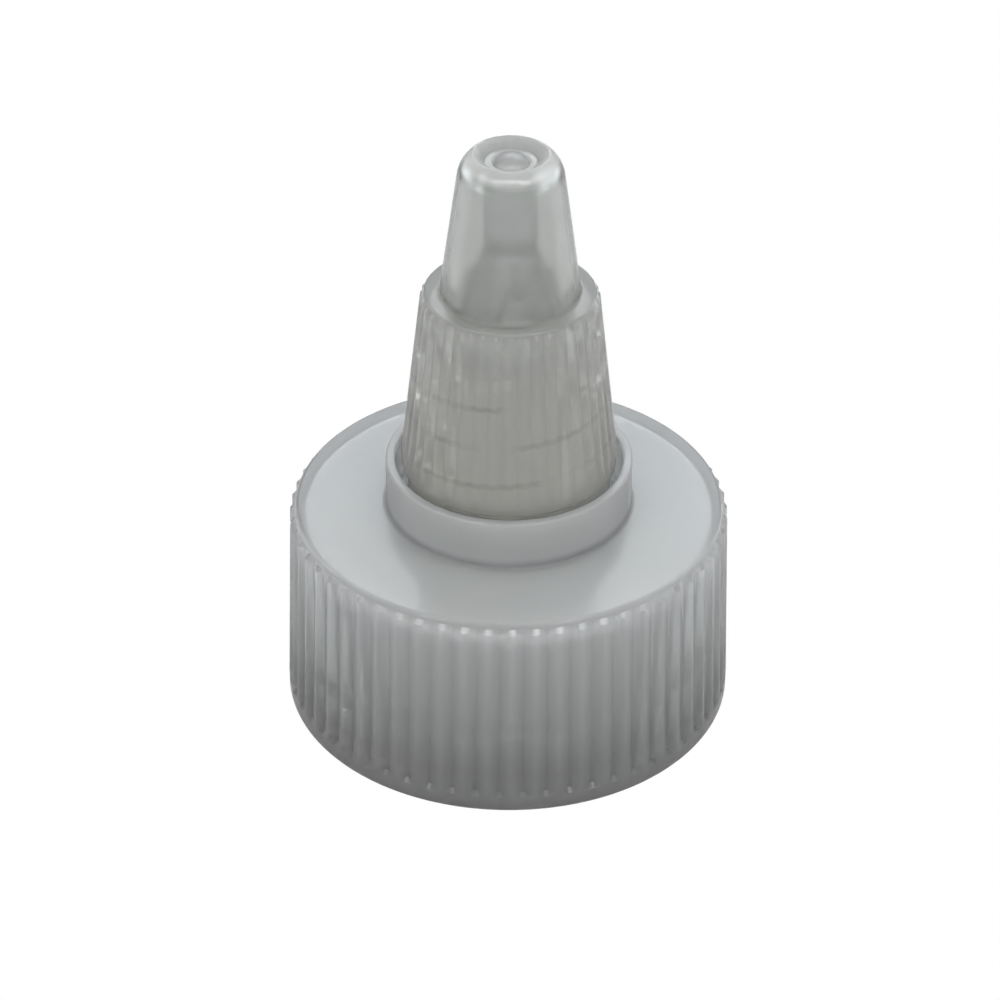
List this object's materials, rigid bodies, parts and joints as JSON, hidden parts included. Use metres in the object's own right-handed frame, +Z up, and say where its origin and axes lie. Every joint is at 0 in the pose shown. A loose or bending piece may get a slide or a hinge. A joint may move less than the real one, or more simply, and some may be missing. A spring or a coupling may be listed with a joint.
{
  "type": "twist-open dispensing closure",
  "caption": "Screw cap with a ribbed skirt and a twist-open pouring spout that lifts off a sealing pin to let liquid out.",
  "frame": {"origin": "centre of the bottom rim of the skirt", "axes": "+Z up along the closure's axis, from the bottle towards the spout's tip; -Y faces the turning stop"},
  "size_m": [0.031, 0.031, 0.0418],
  "materials": {
    "milky_polypropylene": "natural translucent polypropylene, satin",
    "clear_polyethylene": "natural translucent polyethylene, glossy",
    "liner_foam": "soft white polyethylene foam, matt"
  },
  "bodies": {
    "base": {"closure_base": "milky_polypropylene", "neck_liner": "liner_foam"},
    "nozzle": {"spout_nozzle": "clear_polyethylene"},
    "grip": {"spout_grip": "clear_polyethylene"}
  },
  "joints": [
    {"name": "spout_lift", "type": "slide", "parent": "base", "child": "nozzle", "axis": [0, 0, 1], "range_m": [0, 0.00257]},
    {"name": "spout_twist", "type": "hinge", "parent": "nozzle", "child": "grip", "pos_m": [0, 0, 0.0305], "axis": [0, 0, 1], "range_deg": [0, 330]}
  ],
  "couplings": [
    {"joint": "spout_twist", "follows": "spout_lift", "rad_per_m": 2244}
  ]
}
